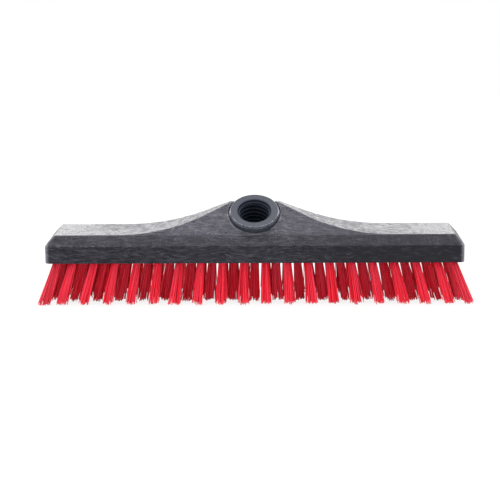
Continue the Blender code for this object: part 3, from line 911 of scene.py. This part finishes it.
def bore_nylon():
    """The same nylon where handles have been screwed in, scuffed dull, and painted dark as
    painted shade in the bore: black in the thread's grooves, with a painted highlight on
    its crests."""
    material, tree = new_tree("nylon_thread_painted_shade")
    place = add_node(tree, "TexCoord", {}, {}).outputs["Object"]
    scuff = add_node(
        tree, "TexNoise", {}, {"Vector": place, "Scale": 1 / SCUFF_SIZE, "Detail": 4.0}
    )
    ribbon = add_node(tree, "UVMap", {"uv_map": "bore_and_groove"}, {})
    deep, groove, _ = add_node(tree, "SeparateXYZ", {}, (ribbon,)).outputs[:]

    # the painted highlight on the crest is the first quarter of the thread's depth, broken
    # here and there by the scuff noise, and weaker at the mouth
    pale = add_node(tree, "MapRange", {}, (groove, 0.0, 0.25, 1.0, 0.0))
    for row in ((scuff, 0.3, 0.65, 0.45), (deep, 0.0, 0.35, 0.5, 1.0)):
        mask = add_node(tree, "MapRange", {}, row)
        pale = add_node(tree, "Math", MULTIPLY, (pale, mask))
    # the dark colour is painted shade, the pale one the crests' painted highlight
    colour = add_node(
        tree, "Mix", COLOURS, {SHARE: pale, UNDER: linear("#171c27"), OVER: linear("#5c6370")}
    )
    shader = add_node(
        tree,
        "BsdfPrincipled",
        {},
        {
            "Base Color": colour.outputs[MIXED],
            "Roughness": 0.62,
            "IOR": 1.48,
            "Specular IOR Level": 0.2,
            "Specular Tint": linear("#dce2f4"),
        },
    )
    add_node(tree, "OutputMaterial", {}, {"Surface": shader})
    return material


def red_filament():
    """Polyester filament, drawn and dyed through. Each filament differs a little in tone.
    Painted shade darkens the outermost tufts, and the cut tips are paler."""
    material, tree = new_tree("red_polyester_filament_drawn")
    ribbon = add_node(tree, "UVMap", {"uv_map": "tone_and_length"}, {})
    tone, along, _ = add_node(tree, "SeparateXYZ", {}, (ribbon,)).outputs[:]
    place = add_node(tree, "TexCoord", {}, {}).outputs["Object"]
    across = add_node(tree, "SeparateXYZ", {}, (place,)).outputs[0]
    out = add_node(tree, "Math", ABSOLUTE, (across,))
    # the outermost tufts are darkened with painted shade
    painted_end_shade = add_node(tree, "MapRange", SMOOTH, (out, 0.132, 0.152, 0.0, 0.45))
    tip = add_node(tree, "MapRange", {}, (along, 0.94, 1.0, 0.0, 0.35))
    colour = linear("#f60022")
    for mask, layer in ((tone, "#ff425c"), (painted_end_shade, "#bc3c4a"), (tip, "#ee6a72")):
        colour = add_node(
            tree, "Mix", COLOURS, {SHARE: mask, UNDER: colour, OVER: linear(layer)}
        ).outputs[MIXED]
    shader = add_node(
        tree,
        "BsdfPrincipled",
        {},
        {
            "Base Color": colour,
            "Roughness": 0.30,
            "IOR": 1.57,
            "Specular IOR Level": 0.36,
            "Specular Tint": linear("#ffd6dc"),
        },
    )
    add_node(tree, "OutputMaterial", {}, {"Surface": shader})
    return material


def seen_ray(tree):
    """1 where a camera, glossy or transmission ray meets the surface, and otherwise 0."""
    path = add_node(tree, "LightPath", {}, {}).outputs
    seen = path["Is Camera Ray"]
    for name in ("Is Glossy Ray", "Is Transmission Ray"):
        seen = add_node(tree, "Math", MAXIMUM, (seen, path[name]))
    return seen


def studio_paper():
    """White matt paper. Seen directly or in a reflection most of it shows as white, and
    the rest still takes the brush's shadow."""
    material, tree = new_tree("white_studio_paper")
    share = add_node(tree, "Math", MULTIPLY, (seen_ray(tree), PAPER_GLOW_SHARE))
    paper = add_node(tree, "BsdfDiffuse", {}, {"Color": linear("#f2f2f2")})
    white = add_node(tree, "Emission", {}, {"Color": linear("#ffffff"), "Strength": 1.0})
    mixed = add_node(tree, "MixShader", {}, (share, paper, white))
    add_node(tree, "OutputMaterial", {}, {"Surface": mixed})
    return material


# Studio


def add_floor():
    """A sheet of paper as far as the lamps light it. Past it the world is as white."""
    turns = ((-1, -1), (1, -1), (1, 1), (-1, 1))
    corners = [(x * FLOOR_REACH, y * FLOOR_REACH, 0) for x, y in turns]
    mesh = bpy.data.meshes.new("studio_floor")
    mesh.from_pydata(corners, [], [(0, 1, 2, 3)])
    mesh.materials.append(studio_paper())
    add_piece("studio_floor", mesh)


def add_world():
    """White all round, as a ray sees it, and slightly dimmer as a light."""
    world = bpy.data.worlds.new("white_studio")
    bpy.context.scene.world = world
    world.use_nodes = True
    tree = world.node_tree
    tree.nodes.clear()
    strength = add_node(tree, "MapRange", {}, (seen_ray(tree), 0.0, 1.0, WORLD_LIGHT, 1.0))
    light = add_node(tree, "Background", {}, {"Color": linear("#ffffff"), "Strength": strength})
    add_node(tree, "OutputWorld", {}, {"Surface": light})


def add_softbox(name, place, width, height, radiance):
    """A rectangular lamp, turned towards the brush. Its power is its radiance times its
    area times pi."""
    lamp = bpy.data.lights.new(name, "AREA")
    lamp.shape = "RECTANGLE"
    lamp.size = width
    lamp.size_y = height
    lamp.energy = radiance * width * height * math.pi
    item = add_piece(name, lamp)
    item.location = place
    item.rotation_euler = (LAMP_TARGET - Vector(place)).to_track_quat("-Z", "Y").to_euler()
    item.visible_camera = False


def add_camera():
    """The photograph's view: a point CAMERA_DISTANCE from the target, turned by azimuth
    and elevation, then rolled about its own axis."""
    a, e, r = CAMERA_AZIMUTH, CAMERA_ELEVATION, CAMERA_ROLL
    back = Vector((math.sin(a) * math.cos(e), -math.cos(a) * math.cos(e), math.sin(e)))
    right = (-back).cross(Vector((0, 0, 1))).normalized()
    up = right.cross(-back)
    rolled_right = right * math.cos(r) + up * math.sin(r)
    rolled_up = up * math.cos(r) - right * math.sin(r)
    lens = bpy.data.cameras.new("photo_camera")
    lens.sensor_width = SENSOR * 1000
    lens.lens = FOCAL_PIXELS / IMAGE_PIXELS * SENSOR * 1000
    lens.clip_end = CLIP_END
    item = add_piece("photo_camera", lens)
    turn = Matrix((rolled_right, rolled_up, back)).transposed().to_4x4()
    item.matrix_world = Matrix.Translation(CAMERA_TARGET + back * CAMERA_DISTANCE) @ turn
    bpy.context.scene.camera = item


def dress_brush():
    """Puts each piece on the frame in place of the solid that it stands for."""
    foam, nylon, filament = foam_polypropylene(), insert_nylon(), red_filament()
    block = foam_block()
    block.data.materials.append(foam)
    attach(block, "root")
    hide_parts("brush_block")
    insert = threaded_insert()
    insert.data.materials.append(nylon)
    insert.data.materials.append(bore_nylon())
    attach(insert, "root")
    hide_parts("threaded_insert")
    random = np.random.default_rng(SEED)
    for number, column in enumerate(range(-LAST_COLUMN, LAST_COLUMN + 1), start=1):
        tufts = bristle_tufts(f"bristle_tufts_{number:02d}", column, random)
        tufts.data.materials.append(filament)
        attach(tufts, "root")
        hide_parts(f"tuft_strip_{number:02d}")


add_camera()
add_world()
add_floor()
for row in LAMPS:
    add_softbox(*row)
for name, (x, y, z), *form in PAIRED_LAMPS:
    add_softbox("left_" + name, (-x, y, z), *form)
    add_softbox("right_" + name, (x, y, z), *form)
dress_brush()

bpy.context.scene.view_settings.view_transform = "Standard"
